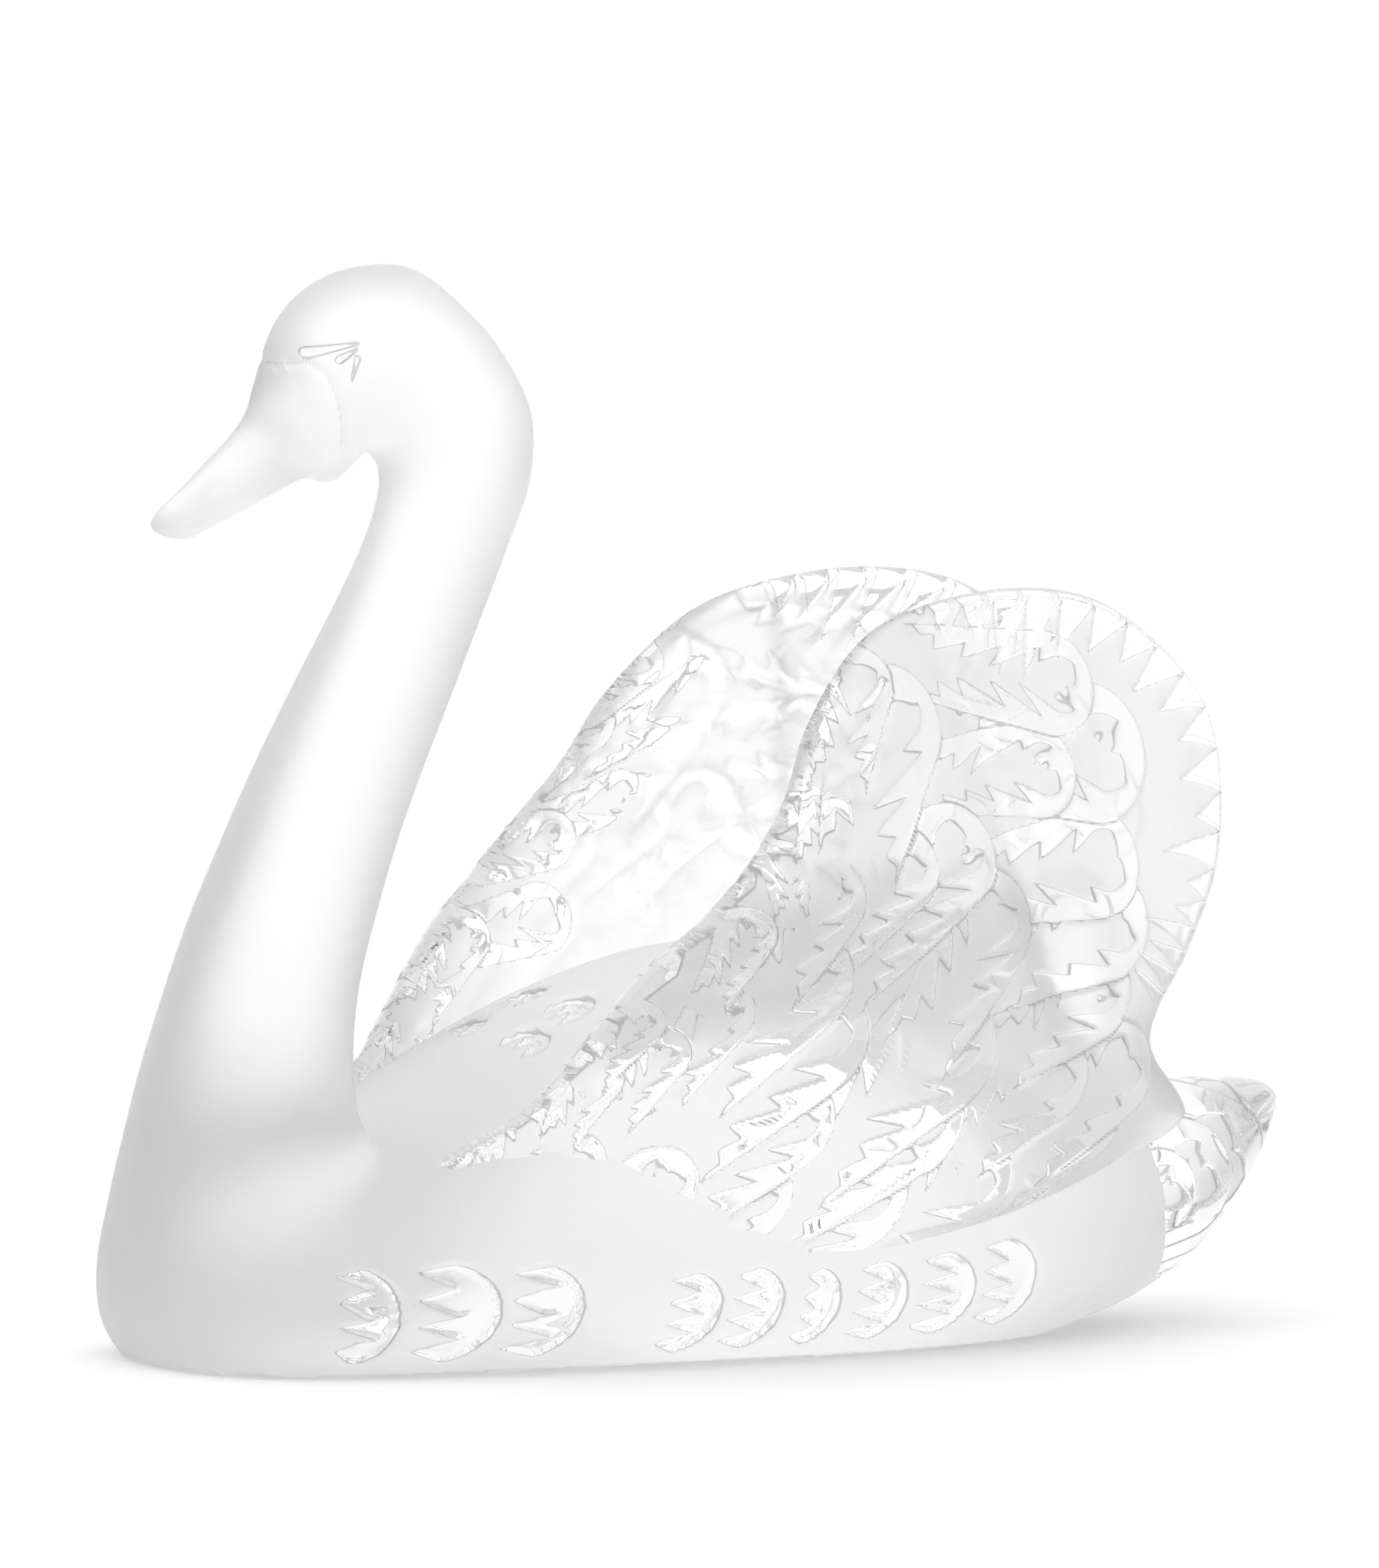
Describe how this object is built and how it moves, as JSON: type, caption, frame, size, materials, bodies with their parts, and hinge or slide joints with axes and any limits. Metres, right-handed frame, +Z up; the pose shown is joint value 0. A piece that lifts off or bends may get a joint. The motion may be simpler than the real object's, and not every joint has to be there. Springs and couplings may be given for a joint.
{
  "type": "crystal swan figurine",
  "caption": "Free-standing solid crystal swan with raised head, satin neck and breast, and high wings and tail in layered polished feather relief on a ground flat base.",
  "frame": {"origin": "on the flat base plane, under the middle of the overall box", "axes": "+X towards the tail (the swan faces -X), +Y towards the swan's right wing, +Z up"},
  "size_m": [0.2799, 0.1596, 0.2411],
  "materials": {
    "satin_crystal": "fine satin frosting on solid colourless crystal, with soft sheen",
    "cut_crystal": "colourless crystal in relief, satin feather webs between polished clear feather rims"
  },
  "bodies": {
    "root": {"body": "satin_crystal", "neck": "satin_crystal", "head": "satin_crystal", "bill": "satin_crystal", "tail": "cut_crystal", "left_wing_coverts": "cut_crystal", "left_wing_flight": "cut_crystal", "right_wing_coverts": "cut_crystal", "right_wing_flight": "cut_crystal"}
  },
  "joints": []
}
